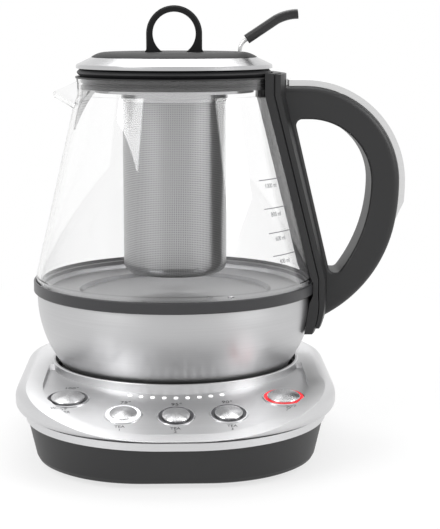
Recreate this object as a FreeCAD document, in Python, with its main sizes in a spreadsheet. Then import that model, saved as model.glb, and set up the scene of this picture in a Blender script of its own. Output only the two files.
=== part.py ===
import FreeCAD, Part
import math
import os
from types import SimpleNamespace

import Sketcher
from FreeCAD import Placement, Rotation, Vector

# Automatic tea maker: a glass kettle with a hanging infuser and a lid, on a switched power base.
# Millimetres. The origin is on the table under the kettle's axis, +Z up, controls at -Y, handle at +X.

doc = FreeCAD.newDocument("TeaMaker")
sheet = doc.addObject("Spreadsheet::Sheet", "Sizes")

DRIVING = [
    ("foot_height", 2.5), ("foot_radius", 7.0), ("sheet_metal", 1.0), ("moulding_wall", 2.4), ("gap", 0.3),
    ("fit", 0.1),
    # base: the black shell, then the steel deck
    ("shell_bottom_half", 76.0), ("shell_bottom_front", 115.0), ("shell_bottom_corner", 60.0),
    ("shell_rear", 78.0), ("deck_lip_half", 82.0), ("deck_lip_front", 124.5), ("deck_lip_corner", 76.0),
    ("lip_bottom_z", 23.3), ("lip_tuck", 1.0), ("lip_top_z", 27.2), ("deck_half", 88.0), ("deck_front", 126.0),
    ("deck_front_corner", 82.0), ("deck_rear", 82.0), ("deck_rear_corner", 60.0), ("deck_z", 42.6),
    ("deck_top_round", 8.5), ("deck_under_round", 4.5), ("shell_round", 3.5),
    # control panel: a shallow scoop in the deck, curved from back to front
    ("panel_radius", 181.0), ("panel_half", 72.0), ("panel_crown_y", -50.0), ("panel_drop", 2.7),
    ("panel_back_y", -14.0), ("panel_straight_y", -96.7), ("panel_front", 117.0), ("panel_corner", 60.0),
    ("brow_radius", 218.0), ("brow_start_y", -44.0),
    ("middle_button_y", -96.4), ("inner_button_x", 27.5), ("inner_button_y", -94.2),
    ("outer_button_x", 57.5), ("outer_button_y", -75.4), ("middle_ring_radius", 9.95),
    ("outer_ring_radius", 11.35), ("middle_cap_radius", 7.3), ("outer_cap_radius", 8.9),
    ("cap_rise", 1.3), ("cap_dome", 1.1), ("cap_stem_radius", 2.0), ("cap_stem", 6.0), ("button_travel", 1.5),
    ("ring_wall", 1.1), ("ring_depth", 4.0), ("lamp_radius", 1.15), ("lamp_circle", 75.6), ("lamp_step", 4.75),
    # seat and plug of the base
    ("seat_radius", 69.5), ("seat_lip", 1.6), ("seat_lip_z", 44.2), ("seat_z", 36.6), ("seat_floor", 2.0),
    ("plug_radius", 15.0), ("plug_height", 12.0), ("socket_clear", 0.7),
    # kettle
    ("bowl_rim_radius", 79.0), ("bowl_rim_z", 84.2), ("bowl_foot_radius", 58.0), ("bowl_bend_radius", 67.6),
    ("bowl_bend_z", 44.9), ("bowl_side_curve", 64.0), ("bowl_foot_curve", 17.0), ("bowl_foot_z", 37.8),
    ("band_radius", 81.1), ("band_top_z", 90.6), ("band_wall", 1.3), ("band_flange", 1.4),
    ("glass_wall", 2.5), ("glass_base_radius", 79.6), ("glass_base_z", 86.8), ("neck_radius", 55.6),
    ("neck_z", 195.5), ("rim_z", 204.7), ("shoulder_z", 93.0), ("spout_reach", 68.0), ("spout_tip_z", 196.9),
    ("spout_root_z", 184.6), ("spout_half_width", 17.0), ("spout_tip_half", 3.6), ("floor_z", 82.0),
    ("floor_step", 2.2), ("floor_radius", 54.0), ("socket_depth", 14.0), ("heater_radius", 46.0),
    ("heater_tube", 3.6),
    # neck ring, spout filter
    ("ring_bottom_z", 198.9), ("ring_ledge_z", 199.9), ("ring_ledge_radius", 45.4), ("ring_wall_radius", 50.6),
    ("rib", 1.1), ("filter_tip_z", 175.6), ("filter_half_angle", 30.0), ("filter_sheet", 0.6),
    # infuser
    ("tube_radius", 29.4), ("tube_wall", 0.8), ("tube_bottom_z", 94.0), ("cup_top_z", 103.8),
    ("cup_corner", 6.0), ("collar_radius", 44.8), ("collar_z", 197.7), ("rod_radius", 1.1), ("rod_x", 37.0),
    ("sleeve_radius", 2.75), ("slot_half", 3.8),
    # lid
    ("cap_radius", 46.6), ("cap_flat_radius", 37.0), ("cap_top_z", 219.0), ("cap_edge_z", 216.4),
    ("dome_radius", 55.3), ("dome_edge_z", 211.5), ("dome_lip", 1.3), ("seal_radius", 54.8),
    ("seal_z", 207.9), ("plug_top_z", 207.0), ("plug_bottom_z", 204.2), ("lid_plug_radius", 46.4),
    ("pull_radius", 15.7), ("pull_hole_radius", 12.1), ("pull_centre_z", 229.2), ("pull_half_width", 3.2),
    # strap and handle
    ("strap_half", 25.5), ("strap_thick", 4.2), ("strap_top_z", 207.7), ("strap_bottom_z", 61.5),
    ("strap_low_curve", 46.0),
    ("back_half", 24.0), ("back_thick", 3.4), ("back_top_z", 207.2), ("back_bottom_z", 64.5),
    ("grip_half", 13.5), ("grip_round", 4.0), ("trim_thick", 3.3), ("trim_half", 9.5),
    ("grip_x", 72.8), ("grip_z", 145.9), ("grip_top_radius", 54.3), ("grip_side_radius", 125.7),
    ("grip_low_radius", 76.5), ("grip_turn", 10.0), ("grip_foot_x", 85.2), ("gap_x", 75.4), ("gap_z", 146.3),
    ("gap_top_radius", 35.5), ("gap_side_radius", 83.9), ("gap_tail_x", 93.2), ("gap_corner", 3.4),
    ("gap_round", 1.6),
    # lifting rod and its sleeve
    ("rod_bend_z", 219.6), ("rod_bend", 7.0), ("sleeve_start_x", 40.8), ("sleeve_start_z", 226.0),
    ("sleeve_turn_x", 57.4), ("sleeve_turn_z", 237.0), ("sleeve_end_x", 69.6), ("sleeve_end_z", 240.1),
    ("board_z", 12.0), ("board_thick", 1.6),
]


class Size:
    # a length with its value and the expression that ties it to the sheet
    def __init__(self, value, text):
        self.value = value
        self.text = text

    def __add__(self, other):
        other = as_size(other)
        return Size(self.value + other.value, f"({self.text} + {other.text})")

    def __sub__(self, other):
        other = as_size(other)
        return Size(self.value - other.value, f"({self.text} - {other.text})")

    def __mul__(self, other):
        other = as_size(other)
        return Size(self.value * other.value, f"({self.text} * {other.text})")

    def __truediv__(self, other):
        other = as_size(other)
        return Size(self.value / other.value, f"({self.text} / {other.text})")

    def __radd__(self, other):
        return as_size(other) + self

    def __rsub__(self, other):
        return as_size(other) - self

    def __rmul__(self, other):
        return as_size(other) * self

    def __neg__(self):
        return Size(-self.value, f"(0 - {self.text})")


def as_size(value):
    return value if isinstance(value, Size) else Size(float(value), repr(float(value)))


def root(size):
    return Size(math.sqrt(size.value), f"sqrt({size.text})")


def arc_sine(size):
    return Size(math.degrees(math.asin(size.value)), f"(asin({size.text}) / 1 deg)")


def sine(degrees):
    return Size(math.sin(math.radians(degrees.value)), f"sin({degrees.text} * 1 deg)")


def cosine(degrees):
    return Size(math.cos(math.radians(degrees.value)), f"cos({degrees.text} * 1 deg)")


for row, (word, number) in enumerate(DRIVING, start=1):
    sheet.set(f"A{row}", word)
    sheet.set(f"B{row}", str(number))
    sheet.setAlias(f"B{row}", word)
doc.recompute()
d = SimpleNamespace(**{word: Size(number, "Sizes." + word) for word, number in DRIVING})

nodes = []


def keep(thing, name):
    thing.Label = name
    nodes.append(thing)
    return thing


def new_body(name):
    body = doc.addObject("PartDesign::Body", name)
    body.Label = name
    return body


def plane_of(body, role):
    return [feature for feature in body.Origin.OriginFeatures if feature.Role == role][0]


def new_sketch(body, role, name, height=None):
    sketch = body.newObject("Sketcher::SketchObject", name)
    sketch.AttachmentSupport = [(plane_of(body, role), "")]
    sketch.MapMode = "FlatFace"
    if height is not None:
        sketch.AttachmentOffset = Placement(Vector(0, 0, height.value), Rotation())
        sketch.setExpression("AttachmentOffset.Base.z", height.text)
    return sketch


def arc_middle(start, end, radius):
    # a positive radius bulges to the right of the way from start to end
    chord = end - start
    half = chord.Length / 2
    rise = abs(radius) - math.sqrt(max(radius * radius - half * half, 0.0))
    across = Vector(chord.y, -chord.x, 0).normalize()
    return (start + end) * 0.5 + across * (rise if radius > 0 else -rise)


def draw(sketch, corners):
    # a closed outline; a corner is (across, up), or (across, up, radius) where the edge that leaves it is an arc
    corners = [[as_size(value) for value in corner] for corner in corners]
    points = [Vector(corner[0].value, corner[1].value, 0) for corner in corners]
    ends = []
    for index, corner in enumerate(corners):
        start = points[index]
        end = points[(index + 1) % len(points)]
        if len(corner) == 3:
            middle = arc_middle(start, end, corner[2].value)
            number = sketch.addGeometry(Part.Arc(start, middle, end), False)
            turn = (middle - start).cross(end - middle).z
            ends.append((number, 1, 2) if turn > 0 else (number, 2, 1))
        else:
            number = sketch.addGeometry(Part.LineSegment(start, end), False)
            ends.append((number, 1, 2))
    for index, (number, first, last) in enumerate(ends):
        following = ends[(index + 1) % len(ends)]
        sketch.addConstraint(Sketcher.Constraint("Coincident", number, last, following[0], following[1]))
    for index, (number, first, last) in enumerate(ends):
        for kind, size in zip(("DistanceX", "DistanceY"), corners[index]):
            place = sketch.addConstraint(Sketcher.Constraint(kind, -1, 1, number, first, size.value))
            sketch.setExpression(f"Constraints[{place}]", size.text)
        if len(corners[index]) == 3:
            radius = corners[index][2]
            place = sketch.addConstraint(Sketcher.Constraint("Radius", number, abs(radius.value)))
            sketch.setExpression(f"Constraints[{place}]", radius.text if radius.value > 0 else (-radius).text)
    return sketch


def draw_circle(sketch, x, y, radius):
    x, y, radius = as_size(x), as_size(y), as_size(radius)
    circle = Part.Circle(Vector(x.value, y.value, 0), Vector(0, 0, 1), radius.value)
    number = sketch.addGeometry(circle, False)
    for kind, size in (("DistanceX", x), ("DistanceY", y)):
        place = sketch.addConstraint(Sketcher.Constraint(kind, -1, 1, number, 3, size.value))
        sketch.setExpression(f"Constraints[{place}]", size.text)
    place = sketch.addConstraint(Sketcher.Constraint("Radius", number, radius.value))
    sketch.setExpression(f"Constraints[{place}]", radius.text)
    return sketch


def turned(body, corners, name, kind="PartDesign::Revolution", angle=None):
    sketch = draw(new_sketch(body, "XZ_Plane", name + "_section"), corners)
    feature = body.newObject(kind, name)
    feature.Profile = sketch
    feature.ReferenceAxis = (sketch, ["V_Axis"])
    if angle is None:
        feature.Angle = 360
    else:
        feature.Midplane = True
        feature.Angle = angle.value
        feature.setExpression("Angle", angle.text)
    return feature


def pad(body, sketch, length, name, kind="PartDesign::Pad", symmetric=False, reverse=False):
    feature = body.newObject(kind, name)
    feature.Profile = sketch
    feature.Length = length.value
    feature.setExpression("Length", length.text)
    feature.Midplane = symmetric
    feature.Reversed = reverse
    return feature


def edges_where(feature, test, crossing):
    # crossing keeps only the edges that run across the middle plane
    doc.recompute()
    names = []
    for index, edge in enumerate(feature.Shape.Edges, start=1):
        if crossing and abs(edge.CenterOfMass.y) > 0.01:
            continue
        if all(test(vertex.Point) for vertex in edge.Vertexes) and test(edge.CenterOfMass):
            names.append(f"Edge{index}")
    return names


def round_edges(body, feature, test, radius, name, kind="PartDesign::Fillet", crossing=False):
    names = edges_where(feature, test, crossing)
    rounding = body.newObject(kind, name)
    rounding.Base = (feature, names)
    if kind == "PartDesign::Fillet":
        rounding.Radius = radius.value
        rounding.setExpression("Radius", radius.text)
    else:
        rounding.Size = radius.value
        rounding.setExpression("Size", radius.text)
    return rounding


def plan(sketch, half, front, rear, front_corner, rear_corner, inset=0):
    # plan of the base: straight sides, a bowed front and a rounded rear
    half, front, rear = half - inset, front - inset, rear - inset
    front_corner, rear_corner = front_corner - inset, rear_corner - inset
    return draw(sketch, [
        (-half, -(front - front_corner), front_corner), (-(half - front_corner), -front),
        (half - front_corner, -front, front_corner), (half, -(front - front_corner)),
        (half, rear - rear_corner, rear_corner), (half - rear_corner, rear),
        (-(half - rear_corner), rear, rear_corner), (-half, rear - rear_corner)])


def cylinder(name, radius, height, place, tilt=None):
    # place is (x, y, z); tilt leans the top towards -Y, in degrees
    thing = doc.addObject("Part::Cylinder", name)
    radius, height = as_size(radius), as_size(height)
    x, y, z = [as_size(value) for value in place]
    thing.setExpression("Radius", radius.text)
    thing.setExpression("Height", height.text)
    lean = tilt.value if tilt is not None else 0
    thing.Placement = Placement(Vector(x.value, y.value, z.value), Rotation(Vector(1, 0, 0), lean))
    for axis, size in zip("xyz", (x, y, z)):
        thing.setExpression(f"Placement.Base.{axis}", size.text)
    if tilt is not None:
        thing.setExpression("Placement.Rotation.Angle", tilt.text)
    return thing


def combine(kind, name, parts):
    thing = doc.addObject(kind, name)
    if kind == "Part::Cut":
        thing.Base, thing.Tool = parts
    else:
        thing.Shapes = parts
    return thing


# where things lie on the panel's arc: y gives the height and the lean of its surface
panel_top_z = d.deck_z - d.panel_drop
panel_centre_z = panel_top_z - d.panel_radius


def panel_height(y):
    run = d.panel_crown_y - y
    return panel_centre_z + root(d.panel_radius * d.panel_radius - run * run)


def panel_lean(y):
    return arc_sine((d.panel_crown_y - y) / d.panel_radius)


buttons = [
    ("hot_water", -d.outer_button_x, d.outer_button_y, d.outer_ring_radius, d.outer_cap_radius),
    ("tea_1", -d.inner_button_x, d.inner_button_y, d.middle_ring_radius, d.middle_cap_radius),
    ("tea_2", as_size(0), d.middle_button_y, d.middle_ring_radius, d.middle_cap_radius),
    ("tea_3", d.inner_button_x, d.inner_button_y, d.middle_ring_radius, d.middle_cap_radius),
    ("on_off", d.outer_button_x, d.outer_button_y, d.outer_ring_radius, d.outer_cap_radius),
]



def brow_height(y, inset):
    run = d.brow_start_y - y
    return d.deck_z - inset - d.brow_radius + root(d.brow_radius * d.brow_radius - run * run)


def cut_front(body, name, inset):
    # the brow: the deck falls away towards the front in one long arc
    edge_y = -(d.deck_front + 5)
    above = d.deck_z + 10
    brow = new_sketch(body, "YZ_Plane", name + "_brow")
    draw(brow, [
        (d.brow_start_y, above), (edge_y, above), (edge_y, brow_height(edge_y, inset), -d.brow_radius),
        (d.brow_start_y, d.deck_z - inset)])
    pad(body, brow, d.deck_half * 3, name + "_brow_cut", "PartDesign::Pocket", symmetric=True)


def cut_scoop(body, name, inset):
    # the scoop of the control panel, an arc that runs on straight to the front
    above = d.deck_z + 10
    scoop = new_body(name + "_scoop")
    side = new_sketch(scoop, "YZ_Plane", name + "_scoop_side")
    front_y = -(d.panel_front + 10)
    run = d.panel_crown_y - d.panel_straight_y
    fall = (d.panel_straight_y - front_y) * run / root(d.panel_radius * d.panel_radius - run * run)
    draw(side, [
        (d.panel_back_y, above), (front_y, above), (front_y, panel_height(d.panel_straight_y) - inset - fall),
        (d.panel_straight_y, panel_height(d.panel_straight_y) - inset, -d.panel_radius),
        (d.panel_crown_y, panel_top_z - inset), (d.panel_back_y - d.panel_drop, panel_top_z - inset),
        (d.panel_back_y, d.deck_z - inset)])
    pad(scoop, side, d.panel_half * 3, name + "_scoop_pad", symmetric=True)
    border = new_body(name + "_border")
    border_plan = new_sketch(border, "XY_Plane", name + "_border_plan")
    plan(border_plan, d.panel_half, d.panel_front, as_size(60), d.panel_corner, as_size(20), -inset)
    pad(border, border_plan, above, name + "_border_pad")
    scoop_cut = combine("Part::MultiCommon", name + "_scoop_cut", [scoop, border])
    return combine("Part::Cut", name, [body, scoop_cut])


def lip_plan(body, name, height, inset):
    return plan(new_sketch(body, "XY_Plane", name, height), d.deck_lip_half, d.deck_lip_front, d.shell_rear,
                d.deck_lip_corner, d.deck_rear_corner, inset)


# the deck's outer form: a bull-nosed block on a narrow lip
deck_block = new_body("deck_block")
deck_plan = new_sketch(deck_block, "XY_Plane", "deck_plan", d.lip_top_z)
plan(deck_plan, d.deck_half, d.deck_front, d.deck_rear, d.deck_front_corner, d.deck_rear_corner)
deck_pad = pad(deck_block, deck_plan, d.deck_z - d.lip_top_z, "deck_pad")
deck_soft = round_edges(deck_block, deck_pad, lambda p: abs(p.z - d.deck_z.value) < 0.01,
                        d.deck_top_round, "deck_top")
round_edges(deck_block, deck_soft, lambda p: abs(p.z - d.lip_top_z.value) < 0.01,
            d.deck_under_round, "deck_under")
pad(deck_block, lip_plan(deck_block, "lip_plan", d.lip_bottom_z, as_size(0)), d.lip_top_z - d.lip_bottom_z,
    "deck_lip")
cut_front(deck_block, "deck", as_size(0))
deck_outer = cut_scoop(deck_block, "deck_outer", as_size(0))

# the room under the deck's metal
room_block = new_body("room_block")
pad(room_block, lip_plan(room_block, "room_plan", d.lip_bottom_z - 1, d.sheet_metal),
    d.lip_top_z - d.sheet_metal - d.lip_bottom_z + 1, "room_pad")
room_inset = d.deck_half - d.deck_lip_half + d.sheet_metal * 1.5
upper_plan = new_sketch(room_block, "XY_Plane", "upper_room_plan", d.lip_top_z - d.sheet_metal * 1.5)
plan(upper_plan, d.deck_half, d.deck_front, d.deck_rear, d.deck_front_corner, d.deck_rear_corner, room_inset)
pad(room_block, upper_plan, d.deck_z + d.sheet_metal * 0.5 - d.lip_top_z, "upper_room_pad")
cut_front(room_block, "room", d.sheet_metal)
deck_room = cut_scoop(room_block, "deck_room", d.sheet_metal)


def on_panel(x, y, along):
    # the point at this distance along the panel's normal, above its surface
    lean = panel_lean(y)
    return (x, y - along * sine(lean), panel_height(y) + along * cosine(lean))


def leaning(name, corners, x, y):
    # a turned piece whose axis is the panel's normal at x, y
    body = new_body(name)
    turned(body, corners, name + "_turn")
    lean = panel_lean(y)
    place = on_panel(x, y, as_size(0))
    body.Placement = Placement(Vector(*[size.value for size in place]), Rotation(Vector(1, 0, 0), lean.value))
    for axis, size in zip("xyz", place):
        body.setExpression(f"Placement.Base.{axis}", size.text)
    body.setExpression("Placement.Rotation.Angle", lean.text)
    return body


# lamps lie on an arc about the kettle's axis, four steps to either side of the middle
lamp_places = []
for step in range(-4, 5):
    angle = d.lamp_step * step
    lamp_places.append((d.lamp_circle * sine(angle), -d.lamp_circle * cosine(angle)))

holes = []
for word, x, y, ring_radius, cap_radius in buttons:
    hole = cylinder(f"hole_{word}", ring_radius + d.fit, 16, on_panel(x, y, as_size(-8)), panel_lean(y))
    holes.append(hole)
for index, (x, y) in enumerate(lamp_places):
    holes.append(cylinder(f"lamp_hole_{index}", d.lamp_radius + d.fit, 12, on_panel(x, y, as_size(-6)),
                          panel_lean(y)))
seat_hole = cylinder("seat_hole", d.seat_radius + d.fit, 40, (0, 0, d.seat_z - 15))

seat_wall = new_body("seat_wall")
turned(seat_wall, [
    (d.seat_radius + d.fit, d.seat_z - d.seat_floor), (d.seat_radius + d.seat_lip, d.seat_z - d.seat_floor),
    (d.seat_radius + d.seat_lip, d.seat_lip_z - 0.4), (d.seat_radius + d.seat_lip - 0.4, d.seat_lip_z),
    (d.seat_radius + d.fit, d.seat_lip_z)], "seat_wall_turn")
deck_skin = combine("Part::Cut", "deck_skin", [deck_outer, deck_room])
deck_with_seat = combine("Part::MultiFuse", "deck_with_seat", [deck_skin, seat_wall])
deck_cuts = combine("Part::MultiFuse", "deck_cuts", holes + [seat_hole])
keep(combine("Part::Cut", "base_deck", [deck_with_seat, deck_cuts]), "base_deck")

# black shell under the deck: a tapering wall with a rounded foot, open above and below
shell = new_body("shell_wall")


def shell_section(name, height, share, inset):
    # share is 0 at the foot's outline and 1 at the deck's lip
    def between(low, high):
        return low * (1 - share) + high * share
    sketch = new_sketch(shell, "XY_Plane", name, height)
    return plan(sketch, between(d.shell_bottom_half, d.deck_lip_half - d.lip_tuck),
                between(d.shell_bottom_front, d.deck_lip_front - d.lip_tuck),
                between(d.shell_rear - 3, d.shell_rear - d.lip_tuck),
                between(d.shell_bottom_corner, d.deck_lip_corner - d.lip_tuck),
                between(d.deck_rear_corner, d.deck_rear_corner - d.lip_tuck), inset)


def shell_loft(name, kind, sections):
    loft = shell.newObject(f"PartDesign::{kind}Loft", name)
    loft.Profile = sections[0]
    loft.Sections = sections[1:]
    loft.Ruled = True


shell_loft("shell_outside", "Additive", [
    shell_section("shell_foot", d.foot_height, 0, d.shell_round * 0.8),
    shell_section("shell_turn", d.foot_height + d.shell_round * 0.25, 0, d.shell_round * 0.3),
    shell_section("shell_side", d.foot_height + d.shell_round * 0.8, 0, as_size(0)),
    shell_section("shell_top", d.lip_bottom_z, 1, as_size(0))])
shell_loft("shell_inside", "Subtractive", [
    shell_section("shell_inside_low", d.foot_height, 0, d.shell_round * 0.8 + d.moulding_wall * 0.5),
    shell_section("shell_inside_side", d.foot_height + d.shell_round, 0, d.moulding_wall),
    shell_section("shell_inside_top", d.lip_bottom_z, 1, d.moulding_wall)])
gland_z = d.foot_height + 8


def rear_cylinder(name, radius, start_y, length):
    # a cylinder that points to the rear at the gland's height
    thing = doc.addObject("Part::Cylinder", name)
    radius, start_y, length = as_size(radius), as_size(start_y), as_size(length)
    thing.setExpression("Radius", radius.text)
    thing.setExpression("Height", length.text)
    thing.Placement = Placement(Vector(0, start_y.value, gland_z.value), Rotation(Vector(1, 0, 0), -90))
    thing.setExpression("Placement.Base.y", start_y.text)
    thing.setExpression("Placement.Base.z", gland_z.text)
    return thing


gland_hole = rear_cylinder("gland_hole", 5 + d.fit, d.shell_rear - 12, 20)
keep(combine("Part::Cut", "base_shell_cut", [shell, gland_hole]), "base_shell")
gland_tube = combine("Part::MultiFuse", "gland_tube", [
    rear_cylinder("gland_barrel", 5, d.shell_rear - 10, 10), rear_cylinder("gland_collar", 6.6, d.shell_rear, 2.2)])
keep(combine("Part::Cut", "cord_gland_cut", [gland_tube, rear_cylinder("gland_bore", 3, d.shell_rear - 12, 20)]),
     "cord_gland")

bottom_plate = new_body("base_bottom")
bottom_plan = new_sketch(bottom_plate, "XY_Plane", "bottom_plan", d.foot_height)
plan(bottom_plan, d.shell_bottom_half, d.shell_bottom_front, d.shell_rear - 3, d.shell_bottom_corner,
     d.deck_rear_corner, d.shell_round * 0.8 + d.moulding_wall * 0.5 + d.gap)
pad(bottom_plate, bottom_plan, d.moulding_wall, "bottom_pad")
post_sketch = new_sketch(bottom_plate, "XY_Plane", "post_plan", d.foot_height + d.moulding_wall)
foot_places = [(-50, -74), (50, -74), (-48, 45), (48, 45), (0, 0)]
post_places = [(-58, -45), (58, -45), (-38, 56), (38, 56)]
for x, y in post_places:
    draw_circle(post_sketch, x, y, 4)
pad(bottom_plate, post_sketch, d.lip_bottom_z - d.foot_height - d.moulding_wall, "bottom_posts")
keep(bottom_plate, "base_bottom")


def group(name, pieces):
    thing = doc.addObject("Part::Compound", name)
    thing.Links = pieces
    return keep(thing, name)


group("base_feet", [
    cylinder(f"foot_{index}", d.foot_radius, d.foot_height, (x, y, 0))
    for index, (x, y) in enumerate(foot_places)])
group("base_screws", [
    cylinder(f"base_screw_{index}", 3.0, 1.6, (x, y, d.foot_height - 1.6))
    for index, (x, y) in enumerate(post_places)])

# seat dish with the plug in its middle
dish = new_body("seat_dish")
turned(dish, [
    (d.plug_radius, d.seat_z - d.seat_floor), (d.seat_radius, d.seat_z - d.seat_floor),
    (d.seat_radius, d.seat_z + 3.5), (d.seat_radius - 1.4, d.seat_z + 3.5), (d.seat_radius - 2.4, d.seat_z),
    (d.plug_radius, d.seat_z)], "dish_turn")
keep(dish, "seat_dish")
plug = new_body("base_plug")
turned(plug, [
    (3.2, d.seat_z - 12), (d.plug_radius - d.fit, d.seat_z - 12),
    (d.plug_radius - d.fit, d.seat_z + d.plug_height - 1.5), (d.plug_radius - d.fit - 1.5, d.seat_z + d.plug_height),
    (3.2, d.seat_z + d.plug_height)], "plug_turn")
keep(plug, "base_plug")
contact = new_body("plug_contact")
turned(contact, [
    (0, d.seat_z - 12), (3.1, d.seat_z - 12), (3.1, d.seat_z + 2), (1.6, d.seat_z + 2),
    (1.6, d.seat_z + d.plug_height - 3), (0, d.seat_z + d.plug_height - 3)], "contact_turn")
keep(contact, "plug_contact")

# kettle: steel bowl, a black band and the glass cone with its spout
def cone_radius(z):
    # the glass cone's outer radius at this height
    slope = (d.glass_base_radius - d.neck_radius) / (d.neck_z - d.shoulder_z)
    return d.neck_radius + (d.neck_z - z) * slope


bowl = new_body("kettle_bowl")
turned(bowl, [
    (0, d.bowl_foot_z), (d.bowl_foot_radius, d.bowl_foot_z, d.bowl_foot_curve),
    (d.bowl_bend_radius, d.bowl_bend_z, d.bowl_side_curve), (d.bowl_rim_radius, d.bowl_rim_z),
    (0, d.bowl_rim_z)], "bowl_outside")
turned(bowl, [
    (0, d.bowl_foot_z + d.sheet_metal), (d.bowl_foot_radius - 0.2, d.bowl_foot_z + d.sheet_metal),
    (d.bowl_bend_radius - d.sheet_metal, d.bowl_bend_z + d.sheet_metal),
    (d.bowl_rim_radius - d.sheet_metal * 2, (d.bowl_bend_z + d.bowl_rim_z) / 2 + d.sheet_metal * 4),
    (d.bowl_rim_radius - d.sheet_metal, d.bowl_rim_z), (d.bowl_rim_radius - d.sheet_metal, d.bowl_rim_z + 1),
    (0, d.bowl_rim_z + 1)], "bowl_inside", "PartDesign::Groove")
socket_hole = new_sketch(bowl, "XY_Plane", "bowl_hole_plan", d.bowl_foot_z - 1)
draw_circle(socket_hole, 0, 0, d.plug_radius + d.socket_clear + 3.5)
pad(bowl, socket_hole, d.sheet_metal + 3, "bowl_hole", "PartDesign::Pocket", reverse=True)
keep(bowl, "kettle_bowl")

underside = new_body("kettle_underside")
turned(underside, [
    (d.plug_radius + d.socket_clear + 3.3, d.seat_z), (d.bowl_foot_radius - 2, d.seat_z),
    (d.bowl_foot_radius - 1, d.seat_z + 0.6), (d.bowl_foot_radius - 1, d.bowl_foot_z),
    (d.plug_radius + d.socket_clear + 3.3, d.bowl_foot_z)], "underside_turn")
keep(underside, "kettle_underside")

socket = new_body("kettle_socket")
turned(socket, [
    (d.plug_radius + d.socket_clear, d.seat_z + 0.2), (d.plug_radius + d.socket_clear + 3, d.seat_z + 0.2),
    (d.plug_radius + d.socket_clear + 3, d.seat_z + d.socket_depth + 2), (0, d.seat_z + d.socket_depth + 2),
    (0, d.seat_z + d.socket_depth), (d.plug_radius + d.socket_clear, d.seat_z + d.socket_depth)], "socket_turn")
keep(socket, "kettle_socket")

# cup under the floor that holds the socket in the bowl
holder = new_body("socket_holder")
turned(holder, [
    (d.plug_radius + d.socket_clear + 3.3, d.bowl_foot_z + d.sheet_metal),
    (d.plug_radius + 14, d.bowl_foot_z + d.sheet_metal), (d.plug_radius + 14, d.bowl_foot_z + 3.4),
    (d.plug_radius + d.socket_clear + 5.5, d.bowl_foot_z + 3.4),
    (d.plug_radius + d.socket_clear + 5.5, d.seat_z + d.socket_depth + 4.5),
    (0, d.seat_z + d.socket_depth + 4.5), (0, d.seat_z + d.socket_depth + 2.1),
    (d.plug_radius + d.socket_clear + 3.3, d.seat_z + d.socket_depth + 2.1)], "holder_turn")
keep(holder, "socket_holder")

band = new_body("glass_band")
band_bore = d.glass_base_radius + d.gap
turned(band, [
    (d.bowl_rim_radius - 2.4, d.bowl_rim_z), (d.band_radius - 0.5, d.bowl_rim_z),
    (d.band_radius, d.bowl_rim_z + 0.5), (d.band_radius, d.band_top_z - 0.5),
    (d.band_radius - 0.4, d.band_top_z), (band_bore, d.band_top_z), (band_bore, d.bowl_rim_z + d.band_flange),
    (d.bowl_rim_radius - 2.4, d.bowl_rim_z + d.band_flange)], "band_turn")
keep(band, "glass_band")

floor_rim = d.glass_base_radius - d.glass_wall - 0.8
gasket = new_body("glass_gasket")
turned(gasket, [
    (floor_rim, d.bowl_rim_z + d.band_flange), (d.glass_base_radius - 0.2, d.bowl_rim_z + d.band_flange),
    (d.glass_base_radius - 0.2, d.glass_base_z), (d.glass_base_radius - d.glass_wall - 0.1, d.glass_base_z),
    (d.glass_base_radius - d.glass_wall - 0.1, d.band_top_z - 1.6), (floor_rim, d.band_top_z - 1.6)],
    "gasket_turn")
keep(gasket, "glass_gasket")

# floor of the kettle: a rolled rim, a sloping ring and a flat plate one step down
kettle_floor = new_body("kettle_floor")
turned(kettle_floor, [
    (0, d.floor_z - d.sheet_metal), (d.floor_radius, d.floor_z - d.sheet_metal),
    (d.floor_radius + 1.6, d.floor_z + d.floor_step - d.sheet_metal),
    (floor_rim - 3, d.floor_z + d.floor_step + 0.6 - d.sheet_metal),
    (floor_rim, d.floor_z + d.floor_step + 2), (floor_rim, d.band_top_z - 1.8),
    (floor_rim - d.sheet_metal, d.band_top_z - 1.8), (floor_rim - d.sheet_metal, d.floor_z + d.floor_step + 2.6),
    (floor_rim - 3.6, d.floor_z + d.floor_step + 0.6), (d.floor_radius + 1, d.floor_z + d.floor_step),
    (d.floor_radius - 0.8, d.floor_z), (0, d.floor_z)], "floor_turn")
keep(kettle_floor, "kettle_floor")

heater = new_body("heating_element")
turned(heater, [
    (d.heater_radius - d.heater_tube, d.floor_z - d.sheet_metal - 7),
    (d.heater_radius + d.heater_tube, d.floor_z - d.sheet_metal - 7),
    (d.heater_radius + d.heater_tube, d.floor_z - d.sheet_metal),
    (d.heater_radius - d.heater_tube, d.floor_z - d.sheet_metal)], "heater_turn")
keep(heater, "heating_element")
sensor = cylinder("sensor_post", 4.0, 12, (0, 0, d.floor_z - d.sheet_metal - 12))
keep(sensor, "heat_sensor")

glass = new_body("glass_body")
turned(glass, [
    (0, d.glass_base_z), (d.glass_base_radius, d.glass_base_z), (d.glass_base_radius, d.shoulder_z),
    (d.neck_radius, d.neck_z), (d.neck_radius, d.rim_z), (0, d.rim_z)], "glass_outside")


def spout_section(name, reach, half, top, bottom):
    # a curved trough across the spout; the sketch's plane looks along X
    sketch = new_sketch(glass, "YZ_Plane", name, -reach)
    depth = top - bottom
    radius = (half * half + depth * depth) / (depth * 2)
    return draw(sketch, [(-half, top, radius), (as_size(0), bottom, radius), (half, top)])


def spout(name, kind, wall, lift):
    root_section = spout_section(name + "_root", d.neck_radius - 8, d.spout_half_width - wall,
                                 d.rim_z + 1 + lift, d.spout_root_z - 3.5 + wall)
    tip_section = spout_section(name + "_tip", d.spout_reach - wall * 0.4, d.spout_tip_half - wall * 0.5,
                                d.spout_tip_z + lift, d.spout_tip_z - 3 + wall * 0.5)
    loft = glass.newObject(f"PartDesign::{kind}Loft", name)
    loft.Profile = root_section
    loft.Sections = [tip_section]
    loft.Ruled = True


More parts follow.
